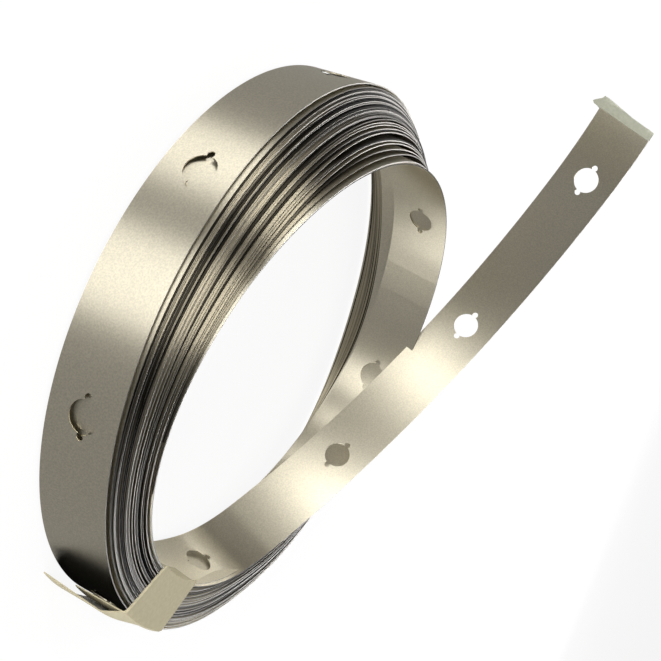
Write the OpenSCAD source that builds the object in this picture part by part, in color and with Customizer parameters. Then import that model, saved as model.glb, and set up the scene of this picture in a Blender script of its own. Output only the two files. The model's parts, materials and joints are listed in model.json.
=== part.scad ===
// Roll of punched nickel strip, lying on its flat end, with its inner end drawn out above it.
// The coil's axis is Z, with zero half way up the outermost turn.

/* [Strip] */
// Width of the strip
strip_w = 10; // [8:0.5:12]
// Thickness of the strip
strip_t = 0.15; // [0.12:0.01:0.18]

/* [Coil] */
// Outer diameter of the coil
coil_d = 81.5; // [76:0.5:100]
// Number of turns
turns = 34; // [20:1:40]
// Gap under each of the outermost turns, which stand off
outer_gap = 0.25; // [0.1:0.05:0.4]
// Gap between two turns where the coil is tight, below those
tight_gap = 0.02; // [0.01:0.01:0.04]
// Gap between two turns at the bore, where the coil is loose
loose_gap = 0.1; // [0.06:0.01:0.2]
// Depth of the groove between two turns
groove_depth = 0.8; // [0.3:0.1:1.5]
// How far the innermost turn stands out of the upper face
telescope = 3.6; // [1:0.1:6]

/* [Punched holes] */
// Diameter of a punched hole
hole_d = 4.2; // [3:0.1:5]
// Diameter of the two small ears of a hole
ear_d = 1; // [0.6:0.1:1.2]
// Distance from a hole's centre to the centre of its ear
ear_reach = 2.4; // [2:0.1:3]
// Distance between two holes along the strip
hole_pitch = 32; // [28:0.5:38]
// Distance of the holes from the strip's upper edge
hole_edge = 4.8; // [4:0.1:5]

/* [Drawn-out end] */
// Angle on the coil where the first hole of the drawn-out end lies
leave_angle = 229.3; // [222:0.1:236]
// Height of the strip's middle there, or higher where the end has to clear the coil
leave_height = 0.6; // [0:0.1:2]
// Heading of the strip there, clockwise from +X
leave_heading = 41.5; // [38:0.5:46]
// Gap between the drawn-out end and the upper face that it passes over
end_gap = 0.3; // [0.2:0.1:1]
// Slope at which the plane of the drawn-out end rises towards +X
end_rise = 13.6; // [10:0.1:16]
// Lean of the drawn-out end about its own length
end_lean = 14; // [10:0.5:16]
// Length of the bend beside the coil
bend_1_len = 12.5; // [10:0.5:15]
// Radius of the bend beside the coil
bend_1_r = 17; // [14:0.5:21]
// Length of the long easy bend
bend_2_len = 80.6; // [65:0.1:98]
// Radius of the long easy bend
bend_2_r = 88.9; // [75:0.1:110]
// Length of the bend at the tip
bend_3_len = 14.1; // [10:0.1:20]
// Radius of the bend at the tip
bend_3_r = 42.7; // [30:0.1:60]

/* [Masking tape] */
// Thickness of the tape
tape_t = 0.16; // [0.12:0.01:0.2]
// Width of the tape round the coil
tape_w = 12; // [10:0.5:14]
// Angle of the tape's middle on the coil
tape_angle = 204.5; // [200:0.5:206]
// Length of the tape's loose end, which lies on the ground beside the coil
flap_len = 5; // [3:0.5:9]
// Length of the end tape on the strip's left side
end_tape_front = 0.6; // [0.4:0.1:3]
// Length of the end tape on the strip's right side
end_tape_back = 6; // [4:0.5:10]
// Length of the end tape past the strip's tip
end_tape_past = 1.4; // [1:0.1:3]
// How far the end tape hangs over the strip's lower edge
end_tape_side = 1.5; // [0.5:0.1:2]

/* [Hidden] */
$fn = 180;
slack = 0.2; // air between tape and metal
flap_bend = 1; // size of the tape's bend where it turns out along the ground
lifted = 2; // outermost turns that stand off
coil_r = coil_d / 2;
half_w = strip_w / 2;

// The turns, counted inwards from the outermost
function turn_gap(i) = i < lifted ? outer_gap
    : tight_gap + (loose_gap - tight_gap) * pow((i - lifted) / (turns - lifted - 2), 2);
function turn_outer(i) = i == 0 ? coil_r : turn_outer(i - 1) - strip_t - turn_gap(i - 1);
function turn_inner(i) = turn_outer(i) - strip_t;
function turn_slide(i) = telescope * (coil_r - turn_outer(i)) / (coil_r - turn_outer(turns - 1));
bore_r = turn_inner(turns - 1);

// The turned section: each turn is a step, and each gap is a groove at both ends
upper_side = [for (i = [0:turns - 1]) each [
    if (i > 0) [turn_outer(i), half_w + turn_slide(i - 1) - groove_depth],
    [turn_outer(i), half_w + turn_slide(i)],
    [turn_inner(i), half_w + turn_slide(i)],
    if (i < turns - 1) [turn_inner(i), half_w + turn_slide(i) - groove_depth]]];
lower_side = [for (i = [turns - 1:-1:0]) each [
    if (i < turns - 1) [turn_inner(i), -half_w + turn_slide(i + 1) + groove_depth],
    [turn_inner(i), -half_w + turn_slide(i)],
    [turn_outer(i), -half_w + turn_slide(i)],
    if (i > 0) [turn_outer(i), -half_w + turn_slide(i) + groove_depth]]];

// Holes on the outermost turn, counted back from the one that the tape half covers
outer_step = hole_pitch / coil_r * 180 / PI;
outer_holes = floor(360 / outer_step);
outer_first = 197;
// Holes on the innermost turn, counted back from the first hole of the drawn-out end
inner_step = hole_pitch / bore_r * 180 / PI;
inner_holes = floor(360 / inner_step);

// The drawn-out end is a chain of bends in a sloping plane that its edges cross squarely
end_length = bend_1_len + bend_2_len + bend_3_len;
end_holes = floor(end_length / hole_pitch);
bend_step = 1.3; // length of strip between two points of its outline
start_lap = 4; // length of strip before the first hole, along the wall of the bore
bend_len = [bend_1_len, bend_2_len, bend_3_len];
bend_r = [bend_1_r, bend_2_r, bend_3_r];
function left_of(a) = [-sin(a), cos(a)];
function along(a) = [cos(a), sin(a)];
function sweep(i, len) = len / bend_r[i] * 180 / PI;
function bend_from(i) = i < 1 ? 0 : bend_from(i - 1) + bend_len[i - 1];
function bend_heading(i) = i < 1 ? -leave_heading : bend_heading(i - 1) + sweep(i - 1, bend_len[i - 1]);
function bend_start(i) = i < 1 ? [0, 0]
    : bend_start(i - 1) + bend_r[i - 1] * (left_of(bend_heading(i - 1)) - left_of(bend_heading(i)));
function bend_at(s) = s < bend_from(1) ? 0 : s < bend_from(2) ? 1 : 2;
function heading(s) = let (i = bend_at(s)) s < 0 ? -leave_heading : bend_heading(i) + sweep(i, s - bend_from(i));
function end_point(s) = let (i = bend_at(s)) s < 0 ? s * along(-leave_heading)
    : bend_start(i) + bend_r[i] * (left_of(bend_heading(i)) - left_of(heading(s)));
// The strip's lower edge, from the middle of the strip at the first hole
function lower_edge(s) = let (p = end_point(s), out = p[1] * sin(end_lean) - half_w * cos(end_lean)) [
    p[0] * cos(end_rise) - out * sin(end_rise),
    p[1] * cos(end_lean) + half_w * sin(end_lean),
    p[0] * sin(end_rise) + out * cos(end_rise)];
// Where the lower edge is as far out as the bore's wall, and so passes over the upper face
function passes(s) = let (p = lower_edge(s)) norm([start_x + p[0], start_y + p[1]]) > bore_r;
function crossing(s) = passes(s) || s > end_length ? s : crossing(s + bend_step / 2);
start_x = bore_r * cos(leave_angle);
start_y = bore_r * sin(leave_angle);
start_z = max(leave_height, half_w + telescope + end_gap - lower_edge(crossing(bend_1_len))[2]);
// Outline of a layer that follows the strip, between two offsets to its left
function layer(s1, s2, low, high) =
    let (n = ceil((s2 - s1) / bend_step), step = (s2 - s1) / n)
        concat([for (k = [0:n]) end_point(s1 + k * step) + low * left_of(heading(s1 + k * step))],
            [for (k = [n:-1:0]) end_point(s1 + k * step) + high * left_of(heading(s1 + k * step))]);

// A punched hole with its ears, cut along Z, the strip's length along X
module punch(depth) {
    cylinder(h = depth, d = hole_d, center = true, $fn = 48);
    for (side = [-1, 1])
        translate([side * ear_reach, 0, 0])
            cylinder(h = depth, d = ear_d, center = true, $fn = 32);
}

// A punch held against the coil at an angle, its axis through the coil's own
module coil_punch(angle, radius, slide) {
    rotate([0, 0, angle])
        translate([radius, 0, half_w - hole_edge + slide])
            rotate([90, 0, 90])
                punch(4);
}

// A round bar along the coil's axis, longer than the coil
module core(r) {
    cylinder(h = 4 * strip_w, r = r, center = true);
}

module coil() {
    color("#a8a496")
        difference() {
            rotate_extrude()
                polygon(concat(upper_side, lower_side));
            for (i = [0:outer_holes - 1])
                difference() {
                    coil_punch(outer_first - i * outer_step, coil_r, 0);
                    core(turn_outer(1));
                }
            for (i = [1:inner_holes])
                intersection() {
                    coil_punch(leave_angle - i * inner_step, bore_r, telescope);
                    core(turn_inner(turns - 2));
                }
        }
}

// Puts its children in the plane of the drawn-out end, the strip's lower edge at zero
module end_plane() {
    translate([start_x, start_y, start_z])
        rotate([end_lean, -end_rise, 0])
            translate([0, 0, -half_w])
                children();
}

module end_punch(s) {
    translate(concat(end_point(s), strip_w - hole_edge))
        rotate([0, 0, heading(s)])
            rotate([90, 0, 0])
                punch(4);
}

// The strip from the wall of the bore to its tip, trimmed where it meets the wall
module strip_end() {
    color("#b3af9f")
        difference() {
            end_plane()
                difference() {
                    linear_extrude(strip_w)
                        polygon(layer(-start_lap, end_length, -strip_t / 2, strip_t / 2));
                    for (k = [0:end_holes])
                        end_punch(k * hole_pitch);
                }
            rotate_extrude()
                polygon([
                    [coil_r, half_w],
                    [bore_r, half_w + telescope],
                    [bore_r, telescope - half_w],
                    [coil_r, -half_w]]);
        }
}

module coil_tape() {
    spread = tape_w / ((coil_r + bore_r) / 2) * 180 / PI;
    out = slack + tape_t; // outer side of the tape
    face = coil_r + out;
    color("#b5ac8e")
        rotate([0, 0, tape_angle - spread / 2])
            rotate_extrude(angle = spread)
                difference() {
                    polygon([
                        [face, half_w + out],
                        [bore_r + strip_t, half_w + telescope + out],
                        [bore_r - out, half_w + telescope + out],
                        [bore_r - out, telescope - half_w - out],
                        [coil_r - strip_t, -half_w - out],
                        [face + flap_len, -half_w - out],
                        [face + flap_len, -half_w - slack],
                        [face + flap_bend, -half_w - slack],
                        [face + tape_t, -half_w + flap_bend],
                        [face + tape_t, 0],
                        [face, 0]]);
                    polygon([
                        [coil_r + slack, half_w + slack],
                        [bore_r + strip_t, half_w + telescope + slack],
                        [bore_r - slack, half_w + telescope + slack],
                        [bore_r - slack, telescope - half_w - slack],
                        [coil_r - strip_t, -half_w - slack],
                        [coil_r + slack, -half_w - slack]]);
                }
}

module end_tape() {
    gap = strip_t / 2 + slack / 2; // from the strip's middle to the tape
    outer = gap + tape_t;
    tip = end_length + end_tape_past;
    color("#a9aa98")
        end_plane()
            translate([0, 0, -end_tape_side])
                linear_extrude(strip_w + end_tape_side)
                    union() {
                        polygon(layer(end_length - end_tape_back, tip, -outer, -gap));
                        polygon(layer(end_length - end_tape_front, tip, gap, outer));
                        polygon(layer(end_length + slack, tip, -gap - tape_t / 2, gap + tape_t / 2));
                    }
}

coil();
strip_end();
coil_tape();
end_tape();
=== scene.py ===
import bpy
import json
import math
from mathutils import Matrix, Vector

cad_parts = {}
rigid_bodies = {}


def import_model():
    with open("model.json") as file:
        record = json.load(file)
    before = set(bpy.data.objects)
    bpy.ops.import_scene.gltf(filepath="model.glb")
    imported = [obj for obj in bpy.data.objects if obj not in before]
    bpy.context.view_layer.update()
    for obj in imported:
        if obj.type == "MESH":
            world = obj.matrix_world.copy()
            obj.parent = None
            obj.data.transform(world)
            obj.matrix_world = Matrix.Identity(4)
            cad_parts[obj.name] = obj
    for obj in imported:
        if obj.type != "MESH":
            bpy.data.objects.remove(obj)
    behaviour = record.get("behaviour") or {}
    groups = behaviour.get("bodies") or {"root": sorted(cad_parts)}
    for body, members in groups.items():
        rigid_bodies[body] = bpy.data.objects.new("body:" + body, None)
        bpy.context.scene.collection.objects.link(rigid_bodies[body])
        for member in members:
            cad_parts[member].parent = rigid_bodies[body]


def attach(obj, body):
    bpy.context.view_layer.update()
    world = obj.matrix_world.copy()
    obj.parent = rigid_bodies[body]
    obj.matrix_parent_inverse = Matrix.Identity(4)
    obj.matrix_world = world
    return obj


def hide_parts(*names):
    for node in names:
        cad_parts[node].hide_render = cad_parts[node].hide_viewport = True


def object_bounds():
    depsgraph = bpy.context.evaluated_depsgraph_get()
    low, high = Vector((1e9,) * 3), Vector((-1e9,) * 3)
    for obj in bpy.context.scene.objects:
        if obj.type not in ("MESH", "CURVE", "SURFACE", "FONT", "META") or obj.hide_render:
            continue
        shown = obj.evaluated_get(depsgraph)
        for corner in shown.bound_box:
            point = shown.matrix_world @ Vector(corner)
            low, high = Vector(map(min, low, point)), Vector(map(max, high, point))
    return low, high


# Roll of punched nickel strip on a pale floor. The roll's lengths are in mm and become metres where
# the mesh is made; the floor, the card and the lamps are in metres. Angles are in degrees,
# counter-clockwise from +X.
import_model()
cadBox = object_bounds()
print("frame loaded")
mm = 0.001

coil = {
    "radius": 40.63,          # outermost turn, mean of its oval
    "oval": 0.0349,           # how far the oval departs from a circle
    "ovalAngle": 15.4,        # where the oval is widest
    "bulge": 2.5,             # how far the turns spread where the end passes over them
    "bulgeAngle": 285,
    "bulgeReach": 50,         # how far to both sides it spreads
    "boreRadius": 33.47,      # innermost turn, along its upper edge
    "boreOval": 0.0281,
    "boreOvalAngle": -2.4,
    "boreCentre": (-0.28, -1.57),
    "boreLift": 4.53,         # the innermost turn's upper edge above the outermost one's
    "boreSlope": (0.0994, 0.0785),   # tilt of the innermost turn along X and Y
    "innerStep": 2.4,         # how far the innermost turn stands above the next, at its highest
    "stepAngle": 8,           # where that is
    "stepReach": 52,
    "turns": 34,
    "startAngle": 205.0,      # the strip's outer end, under the tape
    "leaveAngle": 229.3,      # where the inner end leaves the coil
    "leastWall": 5.7,         # the wall is no thinner than its turns
    "leastAir": 0.6,          # air left in the wall in all
    "stray": 0.15,            # how far one turn's edge stands above its neighbour's
    "strayTurns": 4,          # turns over which that grows from the rim
    "strayRate": 0.37,        # how fast it comes and goes along the strip
    "outerSpan": 372,         # degrees of strip made with its holes, from the outer end
    "innerSpan": 420,         # the same up to where the inner end leaves
}
gaps = {                      # how the wall's air is shared out between the turns, and where a turn drops
    "outerTurn": 2.3,         # weight of the gap under the outermost turn
    "closing": 1.5,           # how much smaller it gets where it closes
    "closeAngle": 52,
    "closeReach": 60,
    "openTurns": 2.0,         # outermost turns that stand off
    "open": 0.7,
    "tightTurns": 18.0,       # turns below them that lie tight
    "tight": (0.03, 0.1),     # least weight, and what unevenness adds to it
    "loose": (0.12, 0.35, 0.9),      # the same below the tight turns, and how it grows inwards
    "uneven": (0.35, 1.2),    # least and added share of that growth, from turn to turn
    "lastTurns": 5,           # innermost turns, which part at the top
    "last": 0.5,              # their weight where they lie together
    "lastTurn": 0.1,          # that of the innermost of all
    "part": 0.8,              # what is added where they part
    "partWide": 2.2,          # the same at the widest gap,
    "wideTurn": 3,            # this many turns from the bore
    "partAngle": 72,
    "partReach": 62,
    "dropFrom": 0.9,          # share of a round after which the outermost turn drops below its end
    "dropTo": 0.12,           # share of the next round by which it has dropped
    "wander": 0.7,            # how much the gaps vary along the strip
    "wanderIn": 0.7,          # turns over which that starts at the rim
    "wanderOut": 1.5,         # and fades towards the bore
    "least": 0.008,           # least gap between two turns
}
strip = {
    "width": 10.0,
    "thick": 0.15,
    "cell": 0.8,              # length of one cell of the mesh along the strip
    "rows": 10,               # cells across it
    "woundCell": 1.7,         # length of a cell between the turns, where the strip is hardly seen
    "woundThick": 0.125,      # thickness there, so that no turns touch
    "pitch": 32.0,            # between two holes
    "plain": 3.0,             # no hole's centre is nearer than this to the end of a piece
    "holeEdge": 4.8,          # holes' centres from the upper edge
    "holeRadius": 2.1,
    "earRadius": 0.5,
    "earReach": 2.4,
    "outerHole": 106.7,       # angle of one hole of the outermost turn
}
end = {
    "start": (-21.87, -25.45, 0.85),   # middle of the strip at its first hole
    "rise": 13.56,            # slope of the end's plane towards +X
    "lean": 13.96,            # lean of the strip about its length
    "heading": -41.5,
    "bends": ((12.5, 17.03), (80.6, 88.9), (14.1, 42.65)),   # length and radius of each
    "wallRadius": 33.5,       # bend before the first hole, along the bore's wall
    "join": (-20.0, 3.0),     # stretch over which the strip comes away from the coil
    "seam": -4.0,             # where the innermost turn's piece ends and the end's own begins
}


def wave(angle, seed):
    # slow wander along the unwound strip, mostly between -1 and 1
    rates = (0.61, 1.37, 2.23, 3.71)
    parts = [math.sin(math.radians(angle) * rate + seed * (2.1 + rate)) for rate in rates]
    return sum(parts) / 2.6


def smooth(value):
    value = min(max(value, 0.0), 1.0)
    return value * value * (3 - 2 * value)


def around(angle, radius):
    return Vector((radius * math.cos(math.radians(angle)), radius * math.sin(math.radians(angle)), 0))


def near(angle, centre, reach):
    # 1 at the centre, falling to 0 at the reach on both sides
    apart = abs((angle - centre + 180) % 360 - 180)
    return smooth(1 - apart / reach)


def outerRadius(angle):
    oval = coil["radius"] * (1 + coil["oval"] * math.cos(math.radians(2 * (angle - coil["ovalAngle"]))))
    return oval + coil["bulge"] * near(angle, coil["bulgeAngle"], coil["bulgeReach"])


def boreRise(point):
    # how much the innermost turn's tilt lifts it at a point
    return coil["boreSlope"][0] * point.x + coil["boreSlope"][1] * point.y


def borePoint(angle):
    # the innermost turn's upper edge
    swell = 1 + coil["boreOval"] * math.cos(math.radians(2 * (angle - coil["boreOvalAngle"])))
    point = around(angle, coil["boreRadius"] * swell)
    point.x += coil["boreCentre"][0]
    point.y += coil["boreCentre"][1]
    point.z = strip["width"] / 2 + coil["boreLift"] + boreRise(point)
    return point


totalTurns = coil["turns"] + (coil["leaveAngle"] - coil["startAngle"]) / 360


def gapShare(turn, angle):
    # weight of the gap inside each turn: the outermost turns stand off, the inner ones lie loose
    if turn < 1:
        return gaps["outerTurn"] - gaps["closing"] * near(angle, gaps["closeAngle"], gaps["closeReach"])
    if turn < gaps["openTurns"]:
        return gaps["open"]
    if turn >= coil["turns"] - gaps["lastTurns"]:
        together = gaps["lastTurn"] if turn >= coil["turns"] - 1 else gaps["last"]
        added = gaps["partWide"] if turn == coil["turns"] - gaps["wideTurn"] else gaps["part"]
        return together + added * near(angle, gaps["partAngle"], gaps["partReach"])
    looseTurns = coil["turns"] - gaps["openTurns"] - gaps["tightTurns"]
    depth = (turn - gaps["openTurns"] - gaps["tightTurns"]) / looseTurns
    uneven = 0.5 + 0.5 * math.sin(turn * 2.4 + 1.1 * math.sin(turn * 1.3))
    if depth < 0:
        least, more = gaps["tight"]
        return least + more * uneven ** 3
    least, more, growth = gaps["loose"]
    share, added = gaps["uneven"]
    return least + (more + growth * depth) * (share + added * uneven ** 2)


def depthShare(turn, angle):
    # sum of the gaps outside a place on the unwound strip
    # the outermost turn keeps to the rim nearly all the way round, and drops where its end covers it
    late, dropped = gaps["dropFrom"], gaps["dropTo"]
    if turn < 1 + dropped:
        return gapShare(0, angle) * smooth((turn - late) / (1 + dropped - late))
    whole = int(turn)
    outside = sum(gapShare(k, angle) for k in range(whole))
    return outside + gapShare(whole, angle) * smooth((turn - whole - dropped) / (1 - dropped))


def wallAt(angle):
    # thickness of the coil's wall, and of one turn in it
    bore = borePoint(angle)
    wall = max(outerRadius(angle) - Vector((bore.x, bore.y)).length, coil["leastWall"])
    thick = min(strip["thick"], (wall - coil["leastAir"]) / coil["turns"])
    return wall, thick


def buildDepths():
    # depth of the strip's middle below the outermost turn's outer face, every degree along the unwound strip
    count = round(360 * totalTurns) + 1
    past = 60                 # degrees laid out past the coil, where the strip comes away from it
    places = []
    for step in range(count + past):
        turn = min(step / 360, totalTurns)
        angle = coil["startAngle"] + step
        wall, thick = wallAt(angle)
        air = wall - coil["turns"] * thick
        fullShare = depthShare(totalTurns, angle)
        nearby = (gapShare(turn, angle) + gapShare(turn + 1, angle)) / 2
        wander = nearby / fullShare * air * wave(step, 1.0)
        fade = smooth((totalTurns - turn) / gaps["wanderOut"]) * smooth((turn - 1) / gaps["wanderIn"])
        laid = thick * (turn + 0.5) + air * depthShare(turn, angle) / fullShare
        places.append(laid + gaps["wander"] * fade * wander)
    # no turn comes nearer to the next than its thickness and the least gap
    least = [wallAt(coil["startAngle"] + step)[1] + gaps["least"] for step in range(360)]
    for step in range(360, len(places)):
        places[step] = max(places[step], places[step - 360] + least[step % 360])
    for step in range(count - 361, -1, -1):
        places[step] = min(places[step], places[step + 360] - least[step % 360])
    return places


depths = buildDepths()


def depthAt(unwound):
    step = min(max(unwound - coil["startAngle"], 0), len(depths) - 1.001)
    whole = int(step)
    return depths[whole] + (step - whole) * (depths[whole + 1] - depths[whole])


def coilGuide(unwound):
    # upper edge of the strip, at the middle of its thickness, and the direction up its width
    angle = unwound % 360
    turn = (unwound - coil["startAngle"]) / 360
    bore = borePoint(angle)
    depth = depthAt(unwound)
    inward = min(depth / wallAt(angle)[0], 1)
    point = around(angle, outerRadius(angle) - depth)
    boreUp = Vector((-coil["boreSlope"][0], -coil["boreSlope"][1], 1)).normalized()
    up = Vector((0, 0, 1)).lerp(boreUp, inward).normalized()
    stray = coil["stray"] * smooth(turn / coil["strayTurns"]) * wave(unwound * coil["strayRate"], 4.0)
    point.z = strip["width"] / 2 + inward * (bore.z - strip["width"] / 2) + stray
    # on the right the innermost turn stands up out of the others
    dip = 0
    if turn < totalTurns - 1:
        dip = coil["innerStep"] * near(angle, coil["stepAngle"], coil["stepReach"])
    return point - up * dip * inward, up


def endAxes():
    # along and left in the end's own plane, and the direction up the strip's width
    rise = math.radians(end["rise"])
    lean = math.radians(end["lean"])
    along = Vector((math.cos(rise), 0, math.sin(rise)))
    left = Vector((-math.sin(lean) * math.sin(rise), math.cos(lean), math.sin(lean) * math.cos(rise)))
    return along, left, along.cross(left)


def endPath(length):
    # point in the end's own plane, along its chain of bends
    # behind its start it follows the wall, and past its tip it goes on in the last bend
    x, y, heading = 0.0, 0.0, math.radians(end["heading"])
    pieces = end["bends"] if length >= 0 else ((length, end["wallRadius"]),)
    left = length
    for bendLength, radius in pieces:
        last = (bendLength, radius) == pieces[-1]
        step = left if last else min(left, bendLength)
        turned = step / radius
        x += radius * (math.sin(heading + turned) - math.sin(heading))
        y -= radius * (math.cos(heading + turned) - math.cos(heading))
        heading += turned
        left -= step
        if left <= 0:
            break
    return x, y


def endGuide(length):
    along, left, across = endAxes()
    x, y = endPath(length)
    middle = Vector(end["start"]) + along * x + left * y
    return middle + across * strip["width"] / 2, across


# The strip's length is measured from the first hole of its drawn-out end, negative inside the coil
leaveTurned = coil["startAngle"] + 360 * totalTurns


def buildLengths():
    # length and unwound angle inside the coil, one row a degree
    rows = [(0.0, leaveTurned)]
    angle = leaveTurned
    last, up = coilGuide(angle)
    length = 0.0
    while angle > coil["startAngle"]:
        angle -= 1.0
        point, up = coilGuide(angle)
        length -= (point - last).length
        last = point
        rows.append((length, angle))
    return rows


lengthRows = buildLengths()
coilLength = -lengthRows[-1][0]
endLength = sum(bend[0] for bend in end["bends"])
print("strip laid out,", round(coilLength), "mm in the coil and", round(endLength), "mm drawn out")


def angleAt(length):
    # unwound angle at a length inside the coil, between the rows
    low, high = 0, len(lengthRows) - 1
    while high - low > 1:
        middle = (low + high) // 2
        if lengthRows[middle][0] >= length:
            low = middle
        else:
            high = middle
    first, second = lengthRows[low], lengthRows[high]
    share = (first[0] - length) / (first[0] - second[0])
    return first[1] + share * (second[1] - first[1])


def lengthAtAngle(unwound):
    # the other way round: length at an unwound angle
    for (length, angle), (nextLength, nextAngle) in zip(lengthRows, lengthRows[1:]):
        if nextAngle <= unwound <= angle:
            return length + (nextLength - length) * (angle - unwound) / (angle - nextAngle)
    return -coilLength


def turnAt(length):
    # how many turns in from the outer end a place on the strip lies
    if length >= 0:
        return totalTurns + length / (2 * math.pi * coil["boreRadius"])
    return (angleAt(length) - coil["startAngle"]) / 360


def guide(length):
    # upper edge and width direction anywhere on the strip
    joinFrom, joinTo = end["join"]
    share = smooth((length - joinFrom) / (joinTo - joinFrom))
    if share >= 1:
        return endGuide(length)
    if length <= 0:
        point, up = coilGuide(angleAt(length))
    else:
        point, up = coilGuide(leaveTurned + math.degrees(length / end["wallRadius"]))
    if share <= 0:
        return point, up
    endPoint, endUp = endGuide(length)
    return point.lerp(endPoint, share), up.lerp(endUp, share).normalized()


def frameAt(length):
    # point on the upper edge, direction along, direction up the width, outward normal
    reach = 0.15              # the direction is taken between two points this far off
    point, up = guide(length)
    ahead = guide(length + reach)[0] - guide(length - reach)[0]
    along = (ahead - up * ahead.dot(up)).normalized()
    return point, along, up, along.cross(up)


def deselect():
    for thing in bpy.data.objects:
        thing.select_set(False)
    bpy.context.view_layer.objects.active = None


def selectOnly(piece):
    deselect()
    piece.select_set(True)
    bpy.context.view_layer.objects.active = piece


def applyAll(piece):
    selectOnly(piece)
    for modifier in list(piece.modifiers):
        bpy.ops.object.modifier_apply(modifier=modifier.name)


def addBoolean(piece, other, operation):
    # joins the other solid to the piece or cuts it out, and removes it
    boolean = piece.modifiers.new("boolean", "BOOLEAN")
    boolean.operation = operation
    boolean.solver = "EXACT"
    boolean.object = other
    applyAll(piece)
    bpy.data.objects.remove(other)


def punches(places):
    # one closed punch for each hole: a round bar with two small ears, along Z
    parts = []
    for place in places:
        spots = ((0, strip["holeRadius"], 40), (-1, strip["earRadius"], 16), (1, strip["earRadius"], 16))
        for side, radius, corners in spots:
            deselect()
            bpy.ops.mesh.primitive_cylinder_add(
                vertices=corners, radius=radius, depth=2,
                location=(place + side * strip["earReach"], -strip["holeEdge"], 0))
            parts.append(bpy.context.object)
    for part in parts[1:]:
        addBoolean(parts[0], part, "UNION")
    return parts[0]


def flatStrip(name, fromLength, toLength, cell, rows, thick, holes):
    # a length of strip lying flat: its length along X from zero, its upper edge at Y zero
    length = toLength - fromLength
    deselect()
    bpy.ops.mesh.primitive_grid_add(
        x_subdivisions=max(round(length / cell), 1), y_subdivisions=rows, size=1, location=(0, 0, 0))
    piece = bpy.context.object
    piece.name = name
    piece.scale = (length, strip["width"], 1)
    piece.location = (length / 2, -strip["width"] / 2, 0)
    bpy.ops.object.transform_apply(location=True, rotation=True, scale=True)
    wall = piece.modifiers.new("thickness", "SOLIDIFY")
    wall.thickness = thick
    wall.offset = 0
    if holes:
        addBoolean(piece, punches([hole - fromLength for hole in holes]), "DIFFERENCE")
    else:
        applyAll(piece)
    return piece


def windOn(piece, fromLength):
    # lays a flat piece along the guide and gives it the guide's own normals
    mesh = piece.data
    selectOnly(piece)
    bpy.ops.object.mode_set(mode="EDIT")
    bpy.ops.mesh.select_all(action="SELECT")
    bpy.ops.mesh.quads_convert_to_tris()
    bpy.ops.object.mode_set(mode="OBJECT")
    known = {}

    def laid(x):
        key = round(x, 4)
        if key not in known:
            known[key] = frameAt(fromLength + x)
        return known[key]

    # UVMap runs along and across the strip, in its widths, and TurnMap counts the coil's turns along it
    if not mesh.uv_layers:
        mesh.uv_layers.new(name="UVMap")
    flatMap = mesh.uv_layers.active.data
    turnMap = mesh.uv_layers.new(name="TurnMap").data
    for loop in mesh.loops:
        corner = mesh.vertices[loop.vertex_index].co
        flatMap[loop.index].uv = (corner.x / strip["width"], corner.y / strip["width"])
        turnMap[loop.index].uv = (turnAt(fromLength + corner.x), corner.y / strip["width"])
    mesh.uv_layers.active = mesh.uv_layers["UVMap"]
    # the turns count as lying open down to openTo, and again from openFrom at the bore
    openTo, openFrom = gaps["openTurns"] + 0.15, totalTurns - gaps["openTurns"] - 0.2
    edgeFrom = strip["width"] / 2 - 0.1
    for face in mesh.polygons:
        edge = abs(face.normal.y) > 0.5 and abs(face.center.y + strip["width"] / 2) > edgeFrom
        turn = turnAt(fromLength + face.center.x)
        # 0 is the open metal, 1 its slit edges and 2 the metal between the turns, which gets painted shade
        face.material_index = 1 if edge else (2 if openTo < turn < openFrom else 0)
    normals = []
    for face in mesh.polygons:
        flat = face.normal.copy()
        for index in face.vertices:
            point, along, up, out = laid(mesh.vertices[index].co.x)
            normals.append((along * flat.x + up * flat.y + out * flat.z).normalized())
    for vertex in mesh.vertices:
        point, along, up, out = laid(vertex.co.x)
        place = point + up * vertex.co.y + out * vertex.co.z
        vertex.co = place * mm
    for face in mesh.polygons:
        face.use_smooth = True
    mesh.update()
    mesh.normals_split_custom_set(normals)


def holesBetween(fromLength, toLength, phase):
    # centres of a piece's holes, one of them at the phase
    first = math.ceil((fromLength + strip["plain"] - phase) / strip["pitch"])
    last = math.floor((toLength - strip["plain"] - phase) / strip["pitch"])
    return [phase + k * strip["pitch"] for k in range(first, last + 1)]


def makePunched(name, fromLength, toLength, phase):
    # a stretch of strip in the open, with its holes
    piece = flatStrip(name, fromLength, toLength, strip["cell"], strip["rows"], strip["thick"],
                      holesBetween(fromLength, toLength, phase))
    windOn(piece, fromLength)
    return piece


def makeMetal():
    outerEnd = lengthAtAngle(coil["startAngle"] + coil["outerSpan"])
    innerStart = lengthAtAngle(leaveTurned - coil["innerSpan"])
    outer = makePunched("outer_turn", -coilLength, outerEnd, lengthAtAngle(strip["outerHole"] + 360))
    print("outermost turn wound")
    wound = flatStrip("wound_turns", outerEnd, innerStart, strip["woundCell"], 1, strip["woundThick"], [])
    windOn(wound, outerEnd)
    print("inner turns wound")
    inner = makePunched("inner_turn", innerStart, end["seam"], 0.0)
    drawn = makePunched("drawn_out_end", end["seam"], endLength, 0.0)
    print("drawn-out end bent")
    return outer, wound, inner, drawn


def linear(code):
    # sRGB hex to linear colour
    values = [int(code[k:k + 2], 16) / 255 for k in (1, 3, 5)]
    return [v / 12.92 if v <= 0.04045 else ((v + 0.055) / 1.055) ** 2.4 for v in values] + [1.0]


def addNode(tree, kind, settings=None, links=None):
    # a node with its settings, and links given as input: (node, output)
    node = tree.nodes.new(kind)
    for name, value in (settings or {}).items():
        if isinstance(name, str) and hasattr(node, name):
            setattr(node, name, value)
        else:
            node.inputs[name].default_value = value
    for name, (source, output) in (links or {}).items():
        tree.links.new(source.outputs[output], node.inputs[name])
    return node


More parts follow.
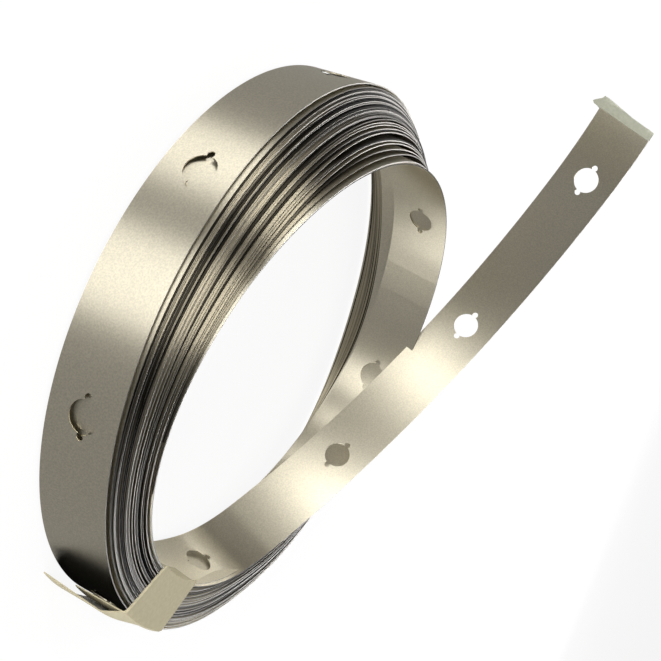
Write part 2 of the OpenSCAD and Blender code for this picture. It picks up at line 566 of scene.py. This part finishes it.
def newMaterial(name):
    material = bpy.data.materials.new(name)
    material.use_nodes = True
    tree = material.node_tree
    tree.nodes.clear()
    return material, tree


def setRamp(ramp, colours, positions):
    for element, colour, position in zip(ramp.color_ramp.elements, colours, positions):
        element.color = colour
        element.position = position


def speckled(tree, code, spots, shares):
    # a colour that runs from darker to lighter with the spots
    tint = addNode(tree, "ShaderNodeValToRGB", {}, {"Fac": (spots, "Fac")})
    colours = [[min(value * share, 1) for value in linear(code)[:3]] + [1] for share in shares]
    setRamp(tint, colours, (0.35, 0.65))
    return tint


nickelLook = {
    "colour": "#D2CBB7",      # warm light grey of the plating
    "roughness": 0.42,
    "anisotropy": 0.95,       # rolled along its length, so a light is drawn out across it
    "grain": 0.22,            # mm
    "speckle": 0.09,          # how much darker and lighter the grain is
    "bump": 0.18,
    "bumpHeight": 0.00002,    # metres
}
edgeLook = {
    "dark": "#141312",        # painted shade of the gaps between turns, against the slit edges' own grey, from turn to turn
    "light": "#C6C3BF",
    "dim": "#4A4845",         # painted shade on the metal between the turns, from turn to turn: this at its deepest, faint the least
    "faint": "#DAD6CE",
    "roughness": 0.45,
    "linesPerTurn": 1.3,
    "sharpness": (0.43, 0.54),   # where the dark tone ends and the light one begins
}


def paintedTurnShade(tree, dark, light):
    # painted shade that differs from turn to turn of the coil, running on along the strip
    turns = addNode(tree, "ShaderNodeUVMap", {"uv_map": "TurnMap"})
    axis = addNode(tree, "ShaderNodeSeparateXYZ", {}, {0: (turns, "UV")})
    lines = addNode(tree, "ShaderNodeTexNoise",
                    {"noise_dimensions": "1D", "Scale": edgeLook["linesPerTurn"], "Detail": 2.0,
                     "Roughness": 0.6},
                    {"W": (axis, "X")})
    tone = addNode(tree, "ShaderNodeValToRGB", {}, {"Fac": (lines, "Fac")})
    setRamp(tone, (linear(dark), linear(light)), edgeLook["sharpness"])
    return tone


def makeNickel(name, wound):
    # cold-rolled steel strip with satin nickel plating: a fine even grain, soft mirror, warm grey
    material, tree = newMaterial(name)
    place = addNode(tree, "ShaderNodeTexCoord")
    grain = addNode(tree, "ShaderNodeTexNoise", {"Scale": 1000 / nickelLook["grain"], "Detail": 2.0},
                    {"Vector": (place, "Object")})
    bump = addNode(tree, "ShaderNodeBump",
                   {"Strength": nickelLook["bump"], "Distance": nickelLook["bumpHeight"]},
                   {"Height": (grain, "Fac")})
    tint = speckled(tree, nickelLook["colour"], grain, (1 - nickelLook["speckle"], 1 + nickelLook["speckle"]))
    # between the turns, painted shade darkens the metal from turn to turn
    if wound:
        lines = paintedTurnShade(tree, edgeLook["dim"], edgeLook["faint"])
        tint = addNode(tree, "ShaderNodeMix", {"data_type": "RGBA", "blend_type": "MULTIPLY", 0: 1.0},
                       {6: (tint, "Color"), 7: (lines, "Color")})
    tangent = addNode(tree, "ShaderNodeTangent", {"direction_type": "UV_MAP", "uv_map": "UVMap"})
    shader = addNode(tree, "ShaderNodeBsdfPrincipled",
                     {"Metallic": 1.0, "Roughness": nickelLook["roughness"],
                      "Anisotropic": nickelLook["anisotropy"], "Anisotropic Rotation": 0.25},
                     {"Base Color": (tint, 2 if wound else "Color"), "Normal": (bump, "Normal"),
                      "Tangent": (tangent, "Tangent")})
    addNode(tree, "ShaderNodeOutputMaterial", {}, {"Surface": (shader, "BSDF")})
    return material


def makeSlitEdge():
    # edge where the strip was slit from a wider sheet: bare sheared metal, neutral grey, with painted shade
    # that differs from turn to turn, which draws the dark lines of the gaps between turns on the coil's ends
    material, tree = newMaterial("slit_edge_painted_gap_shade")
    tint = paintedTurnShade(tree, edgeLook["dark"], edgeLook["light"])
    shader = addNode(tree, "ShaderNodeBsdfPrincipled", {"Metallic": 1.0, "Roughness": edgeLook["roughness"]},
                     {"Base Color": (tint, "Color")})
    addNode(tree, "ShaderNodeOutputMaterial", {}, {"Surface": (shader, "BSDF")})
    return material


coilTape = {
    "outer": (194.2, 211.0),  # angles of its two sides where it folds onto the rim
    "bore": (196.6, 216.2),   # the same where it folds into the bore
    "width": 12,
    "cell": 0.4,              # of the mesh
    "thick": 0.16,
    "air": 0.12,              # between tape and metal
    "fold": 0.4,              # how far from a corner its fold starts
    "hold": 3.0,              # how far down the rim it is stuck
    "flare": 1.7,             # how far its loose corner stands off the rim
    "flaring": 1.0,           # share of its width that stands off
    "standOff": 0.1,          # how far the rest of it does
    "slide": 6.0,             # how far round the coil the loose corner strays, in degrees
    "tuck": 0.6,              # how far its end turns in under the rim
    "innerFrom": 39.8,        # radius outside which its inner side can be seen
    "lip": 0.45,              # serrated end of the upper layer, past the fold at the bore
    "tooth": 0.8,             # width of one tooth there
    "toothDepth": 0.5,        # twice the depth of a tooth
    "crepe": 0.012,           # height of the paper's wrinkles
}
endTape = {
    "from": 101.2,            # where its back leaf starts on the strip
    "front": 107.1,           # where its front leaf ends
    "tip": (109.1, 108.5),    # its fold past the strip's tip, at the lower and the upper edge
    "hang": 1.5,              # how far its slanted corner hangs over the lower edge
    "inset": 0.3,             # how far inside that edge it runs before the corner
    "fold": 1.2,              # length over which the two leaves close at the fold
    "mesh": 12,               # length its cells are counted for
    "thick": 0.14,
    "air": 0.03,
    "crepe": 0.012,
}


def layAlong(corners, fold):
    # a route through corner points with rounded folds, as close points
    route = [corners[0]]
    for before, corner, after in zip(corners, corners[1:], corners[2:]):
        start = corner + (before - corner).normalized() * fold
        finish = corner + (after - corner).normalized() * fold
        for k in range(6):
            share = k / 5
            route.append(start.lerp(corner, share).lerp(corner.lerp(finish, share), share))
    route.append(corners[-1])
    return route


def routeLength(route):
    return sum((second - first).length for first, second in zip(route, route[1:]))


def alongRoute(route, distance):
    for first, second in zip(route, route[1:]):
        step = (second - first).length
        if distance <= step and step > 0:
            return first.lerp(second, distance / step)
        distance -= step
    return route[-1]


def tapeRoute(across, layer):
    # the tape's route round the coil at one place across its width, from 0 to 1
    outerAngle = coilTape["outer"][0] + (coilTape["outer"][1] - coilTape["outer"][0]) * across
    boreAngle = coilTape["bore"][0] + (coilTape["bore"][1] - coilTape["bore"][0]) * across
    rim = outerRadius(outerAngle) + coilTape["air"]
    bore = borePoint(boreAngle)
    boreRadius = Vector((bore.x, bore.y)).length - strip["thick"] - coilTape["air"]
    high = strip["width"] / 2 + coilTape["air"]
    ground = cadBox[0].z / mm + coilTape["thick"] / 2
    # the bore's wall leans with its tilt, and the tape goes down it to just past its foot
    lowerRadius = boreRadius + boreRise(around(boreAngle, 1)) * strip["width"]
    upper = around(boreAngle, boreRadius) + Vector((0, 0, bore.z + coilTape["air"]))
    lower = around(boreAngle, lowerRadius) + Vector((0, 0, bore.z - strip["width"] - 0.1))
    rimTop = around(outerAngle, rim) + Vector((0, 0, high))
    if layer == "lip":
        # the upper layer, from the rim over the turns' edges to just past the fold
        shift = Vector((0, 0, coilTape["thick"]))
        past = (upper - rimTop).normalized() * coilTape["lip"]
        outside = around(outerAngle, rim + coilTape["thick"])
        corners = [outside + Vector((0, 0, -coilTape["hold"])),
                   outside + Vector((0, 0, high + coilTape["thick"])),
                   upper + shift + past]
    else:
        loose = max(1 - across / coilTape["flaring"], 0)
        flare = coilTape["standOff"] + coilTape["flare"] * loose
        footAngle = outerAngle - coilTape["slide"] * loose
        foot = around(footAngle, outerRadius(footAngle) + flare) + Vector((0, 0, ground))
        hold = around(outerAngle, rim + 0.8 * flare) + Vector((0, 0, high - coilTape["hold"]))
        under = around(outerAngle, rim - coilTape["tuck"]) + Vector((0, 0, ground))
        corners = [foot, hold, rimTop, upper, lower, under]
    return layAlong(corners, coilTape["fold"])


def flatTape(name, width, length, cell):
    # a flat sheet with its width along X from 0 to 1 and its length along Y from 0 to 1
    deselect()
    bpy.ops.mesh.primitive_grid_add(
        x_subdivisions=round(width / cell), y_subdivisions=round(length / cell), size=1,
        location=(0.5, 0.5, 0))
    piece = bpy.context.object
    piece.name = name
    bpy.ops.object.transform_apply(location=True, rotation=True, scale=True)
    return piece


def crepe(x, y):
    # the paper's wrinkles, in mm from its face
    ridges = math.sin(y * 7.5 + 1.3 * math.sin(x * 3.1)) * math.sin(x * 3.7 + 2.3 * math.sin(y * 2.1))
    return coilTape["crepe"] * ridges


def finishSheet(piece, thick):
    # turns a bent sheet into paper with a thickness and a smooth face
    wall = piece.modifiers.new("thickness", "SOLIDIFY")
    wall.thickness = thick * mm
    wall.offset = 0
    applyAll(piece)
    bpy.ops.object.mode_set(mode="EDIT")
    bpy.ops.mesh.select_all(action="SELECT")
    bpy.ops.mesh.normals_make_consistent(inside=False)
    bpy.ops.object.mode_set(mode="OBJECT")
    bpy.ops.object.shade_smooth_by_angle(angle=math.radians(40))


def makeCoilTape(layer):
    width = coilTape["width"]
    piece = flatTape("coil_tape_" + layer, width, routeLength(tapeRoute(0.5, layer)), coilTape["cell"])
    routes = {}
    for vertex in piece.data.vertices:
        across = round(vertex.co.x, 4)
        if across not in routes:
            route = tapeRoute(across, layer)
            routes[across] = (route, routeLength(route))
        route, length = routes[across]
        distance = vertex.co.y * length
        point = alongRoute(route, distance)
        if layer == "lip" and vertex.co.y > 0.999:
            tooth = abs((across * width / coilTape["tooth"]) % 1 - 0.5)
            point = alongRoute(route, distance - coilTape["toothDepth"] * tooth)
        vertex.co = (point + Vector((0, 0, crepe(across * width, distance)))) * mm
    finishSheet(piece, coilTape["thick"])
    if layer == "wrap":
        # 0 is the tape's outer side, and 1 its inner side where it stands off the rim
        for face in piece.data.polygons:
            outward = Vector((face.center.x, face.center.y, 0))
            inner = face.normal.dot(outward.normalized()) < -0.2
            if outward.length > coilTape["innerFrom"] * mm and inner:
                face.material_index = 1
    return piece


def makeEndTape():
    # folded over the strip's tip: its back leaf, the fold past the tip, and a short front leaf
    piece = flatTape("tip_tape", strip["width"] + endTape["hang"], endTape["mesh"], coilTape["cell"])
    side = strip["thick"] / 2 + endTape["thick"] / 2 + endTape["air"]
    for vertex in piece.data.vertices:
        tip = endTape["tip"][0] + (endTape["tip"][1] - endTape["tip"][0]) * vertex.co.x
        back = tip - endTape["from"]
        front = tip - endTape["front"]
        distance = vertex.co.y * (back + front)
        place = endTape["from"] + distance if distance < back else tip - (distance - back)
        point, ahead, up, out = frameAt(place)
        past = max(1 - (tip - place) / endTape["fold"], 0)
        # its lower edge slants out past the strip's own, and back again towards the fold
        slant = smooth((place - endLength + 0.5) / 0.6) * (1.1 - 0.8 * smooth((place - endLength) / 1.9))
        lower = -strip["width"] + endTape["inset"] - (endTape["hang"] + endTape["inset"]) * slant
        height = lower * (1 - vertex.co.x)
        offset = side * (1 - past) + endTape["thick"] * 0.55 * past
        if distance >= back:
            offset = -offset
        wrinkle = endTape["crepe"] * math.sin(height * 7 + distance * 3)
        vertex.co = (point + up * height + out * (offset + wrinkle)) * mm
    finishSheet(piece, endTape["thick"])
    return piece


tapeLook = {
    "tan": "#9B9379",         # outer side of the tape on the coil
    "tanRoughness": 0.75,
    "inner": "#F2F0EA",       # its inner side
    "innerRoughness": 0.6,
    "end": "#7C7D6F",         # the small tape on the tip
    "endRoughness": 0.7,
    "flecks": 0.5,            # mm
    "speckle": (0.93, 1.06),  # how dark and how light the flecks are
    "crepe": 0.3,             # mm
    "bump": 0.5,
    "bumpHeight": 0.00006,    # metres
}


def makePaper(name, code, roughness):
    # creped paper tape: matt, with fine wrinkles across its length and small flecks
    material, tree = newMaterial(name)
    place = addNode(tree, "ShaderNodeTexCoord")
    flecks = addNode(tree, "ShaderNodeTexNoise", {"Scale": 1000 / tapeLook["flecks"], "Detail": 3.0},
                     {"Vector": (place, "Object")})
    tint = speckled(tree, code, flecks, tapeLook["speckle"])
    wrinkles = addNode(tree, "ShaderNodeTexNoise", {"Scale": 1000 / tapeLook["crepe"], "Detail": 2.0},
                       {"Vector": (place, "Object")})
    bump = addNode(tree, "ShaderNodeBump", {"Strength": tapeLook["bump"], "Distance": tapeLook["bumpHeight"]},
                   {"Height": (wrinkles, "Fac")})
    shader = addNode(tree, "ShaderNodeBsdfPrincipled", {"Roughness": roughness, "IOR": 1.45},
                     {"Base Color": (tint, "Color"), "Normal": (bump, "Normal")})
    addNode(tree, "ShaderNodeOutputMaterial", {}, {"Surface": (shader, "BSDF")})
    return material


floorShape = {
    "flat": 0.7,              # radius of its flat part
    "edge": 2.6,              # radius of its rim
    "rise": 0.16,             # how far the rim stands up
    "corners": 96,
    "colour": "#F4F4F4",
    "shown": 0.9,             # how far it is plain white to the camera
    "mirrored": 0.5,          # how bright it is in the metal
}


def seenStraight(tree, path):
    # 1 for what the camera sees, itself or through glass
    return addNode(tree, "ShaderNodeMath", {"operation": "MAXIMUM"},
                   {0: (path, "Is Camera Ray"), 1: (path, "Is Transmission Ray")})


def makeFloor():
    # a wide round floor that rises a little at its rim
    deselect()
    bpy.ops.mesh.primitive_circle_add(vertices=floorShape["corners"], radius=floorShape["flat"],
                                      fill_type="NGON", location=(0, 0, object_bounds()[0].z))
    floor = bpy.context.object
    floor.name = "floor"
    bpy.ops.object.transform_apply(location=True, rotation=True, scale=True)
    grow = floorShape["edge"] / floorShape["flat"]
    bpy.ops.object.mode_set(mode="EDIT")
    bpy.ops.mesh.select_mode(type="EDGE")
    bpy.ops.mesh.select_all(action="SELECT")
    bpy.ops.mesh.extrude_edges_move(TRANSFORM_OT_translate={"value": (0, 0, floorShape["rise"])})
    bpy.ops.transform.resize(value=(grow, grow, 1), center_override=(0, 0, 0))
    bpy.ops.object.mode_set(mode="OBJECT")
    # matt pale paint, nearly plain white to the camera and half as bright in the metal
    material, tree = newMaterial("pale_floor")
    diffuse = addNode(tree, "ShaderNodeBsdfDiffuse", {"Color": linear(floorShape["colour"])})
    path = addNode(tree, "ShaderNodeLightPath")
    strength = addNode(tree, "ShaderNodeMath",
                       {"operation": "MULTIPLY_ADD", 1: floorShape["mirrored"] - 1, 2: 1.0},
                       {0: (path, "Is Glossy Ray")})
    glow = addNode(tree, "ShaderNodeEmission", {"Color": (1, 1, 1, 1)}, {"Strength": (strength, 0)})
    straight = seenStraight(tree, path)
    direct = addNode(tree, "ShaderNodeMath", {"operation": "MULTIPLY", 1: floorShape["shown"]},
                     {0: (straight, 0)})
    share = addNode(tree, "ShaderNodeMath", {"operation": "MAXIMUM"},
                    {0: (direct, 0), 1: (path, "Is Glossy Ray")})
    mix = addNode(tree, "ShaderNodeMixShader", {}, {"Fac": (share, 0), 1: (diffuse, 0), 2: (glow, 0)})
    addNode(tree, "ShaderNodeOutputMaterial", {}, {"Surface": (mix, "Shader")})
    floor.data.materials.append(material)


darkCard = {
    "foot": (-0.0419, -0.0347),   # middle of the edge that stands up
    "facing": 228,            # the way that edge faces
    "wide": 0.042,
    "deep": 0.021,
    "tall": 0.3,
    "lift": 0.00005,          # above the ground
    "colour": "#0A0A0A",
}


def makeDarkCard():
    # black card that only the metal reflects: it lies on the floor beside the tape and stands up behind
    deselect()
    bpy.ops.mesh.primitive_plane_add(size=1, location=(0, 0, 0))
    card = bpy.context.object
    card.name = "dark_card"
    card.scale = (darkCard["deep"], darkCard["wide"], 1)
    card.rotation_euler = (0, 0, math.radians(darkCard["facing"]))
    inwards = around(darkCard["facing"] + 180, darkCard["deep"] / 2)
    card.location = Vector((*darkCard["foot"], cadBox[0].z + darkCard["lift"])) + inwards
    bpy.ops.object.transform_apply(location=True, rotation=True, scale=True)
    # only its outer edge is raised
    facing = around(darkCard["facing"], 1)
    outerFrom = Vector((*darkCard["foot"], 0)).dot(facing) - 0.001
    for vertex in card.data.vertices:
        vertex.select = vertex.co.dot(facing) > outerFrom
    for edge in card.data.edges:
        edge.select = all(card.data.vertices[index].select for index in edge.vertices)
    for face in card.data.polygons:
        face.select = False
    bpy.ops.object.mode_set(mode="EDIT")
    bpy.ops.mesh.select_mode(type="EDGE")
    bpy.ops.mesh.extrude_edges_move(TRANSFORM_OT_translate={"value": (0, 0, darkCard["tall"])})
    bpy.ops.object.mode_set(mode="OBJECT")
    card.visible_camera = card.visible_diffuse = card.visible_shadow = card.visible_transmission = False
    material, tree = newMaterial("black_card")
    black = addNode(tree, "ShaderNodeBsdfDiffuse", {"Color": linear(darkCard["colour"])})
    addNode(tree, "ShaderNodeOutputMaterial", {}, {"Surface": (black, 0)})
    card.data.materials.append(material)


# The coil has a pair of softboxes, its drawn-out end another and the bore's wall three, because one set
# can't give the bands of them all. Flags keep each of them off the pieces named last in its row.
endPieces = ("drawn_out_end", "inner_turn")
coilPieces = ("outer_turn", "wound_turns")
lamps = (
    # name, azimuth, elevation, distance, width and height in metres, watts, pieces flagged off
    ("overhead", 0, 90, 0.9, 0.8, 0.8, 2.7, ()),
    ("far_softbox", 328, 28, 0.8, 0.3, 0.3, 1.7, ()),
    ("low_softbox", 300, 16, 0.8, 0.2, 0.2, 0.9, ()),
    ("coil_softbox_1", 74, 12, 0.8, 0.34, 0.36, 3.15, endPieces),
    ("coil_softbox_2", 121, 12, 0.8, 0.42, 0.36, 4.15, endPieces),
    ("end_softbox_1", 83, 12, 0.8, 0.09, 0.36, 1.95, coilPieces),
    ("end_softbox_2", 109, 12, 0.8, 0.1, 0.36, 1.75, coilPieces),
    ("bore_softbox", 134, 12, 0.8, 0.24, 0.36, 3.2, (*coilPieces, "drawn_out_end")),
    ("wall_softbox", 345, 38, 0.8, 0.24, 0.24, 1.7, coilPieces),
    ("fill_softbox", 224, 12, 0.8, 1.1, 0.36, 8.0, coilPieces),
)
skyLevel = 0.07               # the world's brightness where it lights the roll


def makeLamp(name, azimuth, elevation, distance, width, height, power):
    direction = Vector((math.cos(math.radians(elevation)) * math.cos(math.radians(azimuth)),
                        math.cos(math.radians(elevation)) * math.sin(math.radians(azimuth)),
                        math.sin(math.radians(elevation))))
    light = bpy.data.lights.new(name, "AREA")
    light.shape = "RECTANGLE"
    light.size = width
    light.size_y = height
    light.energy = power
    lamp = bpy.data.objects.new(name, light)
    lamp.location = direction * distance
    lamp.rotation_euler = (-direction).to_track_quat("-Z", "Y").to_euler()
    lamp.visible_camera = False
    bpy.context.scene.collection.objects.link(lamp)
    return lamp


def flagOff(lamp, names):
    # keeps a lamp's light off some pieces, as a flag does in a studio
    kept = bpy.data.collections.new(lamp.name + "_flag")
    for name in names:
        kept.objects.link(bpy.data.objects[name])
    lamp.light_linking.receiver_collection = kept
    for member in kept.collection_objects:
        member.light_linking.link_state = "EXCLUDE"


def makeLight():
    for *values, flagged in lamps:
        lamp = makeLamp(*values)
        if flagged:
            flagOff(lamp, flagged)
    world = bpy.data.worlds.new("studio")
    world.use_nodes = True
    tree = world.node_tree
    tree.nodes.clear()
    # white where it is seen beyond the floor, and dim where it lights the object
    path = addNode(tree, "ShaderNodeLightPath")
    seen = seenStraight(tree, path)
    strength = addNode(tree, "ShaderNodeMath", {"operation": "MAXIMUM", 1: skyLevel}, {0: (seen, 0)})
    sky = addNode(tree, "ShaderNodeBackground", {"Color": (1, 1, 1, 1)}, {"Strength": (strength, 0)})
    addNode(tree, "ShaderNodeOutputWorld", {}, {"Surface": (sky, "Background")})
    bpy.context.scene.world = world


view = {
    "place": (-88.97, 101.0, 63.26),
    "right": (0.50488, 0, 0.86319),        # its own right and up, turned as the roll is laid down
    "up": (0.57635, 0.74443, -0.33711),
    "lens": 54.73,
    "sensor": 36,
    "nearest": 0.005,         # metres
}


def makeCamera():
    camera = bpy.data.objects.new("camera", bpy.data.cameras.new("camera"))
    bpy.context.scene.collection.objects.link(camera)
    camera.data.lens = view["lens"]
    camera.data.sensor_width = view["sensor"]
    camera.data.clip_start = view["nearest"]
    right, up = Vector(view["right"]), Vector(view["up"])
    turn = Matrix((right, up, right.cross(up))).transposed().to_4x4()
    camera.matrix_world = Matrix.Translation(Vector(view["place"]) * mm) @ turn
    bpy.context.scene.camera = camera
    bpy.context.scene.view_settings.view_transform = "Standard"


makeCamera()
outerTurn, woundTurns, innerTurn, drawnEnd = makeMetal()
nickel = makeNickel("satin_nickel_plate", False)
woundNickel = makeNickel("satin_nickel_painted_gap_shade", True)
slitEdge = makeSlitEdge()
for piece in (outerTurn, woundTurns, innerTurn, drawnEnd):
    for material in (nickel, slitEdge, woundNickel):
        piece.data.materials.append(material)
    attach(piece, "root")
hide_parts("coil")
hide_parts("strip_end")

tanPaper = makePaper("masking_tape_paper", tapeLook["tan"], tapeLook["tanRoughness"])
innerPaper = makePaper("masking_tape_inner_side", tapeLook["inner"], tapeLook["innerRoughness"])
tapeWrap = makeCoilTape("wrap")
tapeLip = makeCoilTape("lip")
# the metal doesn't mirror the tape, so that the foot of the rim stays dark
tapeWrap.visible_glossy = tapeLip.visible_glossy = False
tipTape = makeEndTape()
for piece in (tapeWrap, tapeLip):
    piece.data.materials.append(tanPaper)
    piece.data.materials.append(innerPaper)
    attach(piece, "root")
tipTape.data.materials.append(makePaper("end_tape_paper", tapeLook["end"], tapeLook["endRoughness"]))
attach(tipTape, "root")
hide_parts("coil_tape")
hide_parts("end_tape")
print("tapes folded on")

makeFloor()
makeDarkCard()
makeLight()
print("floor, card and lamps placed")
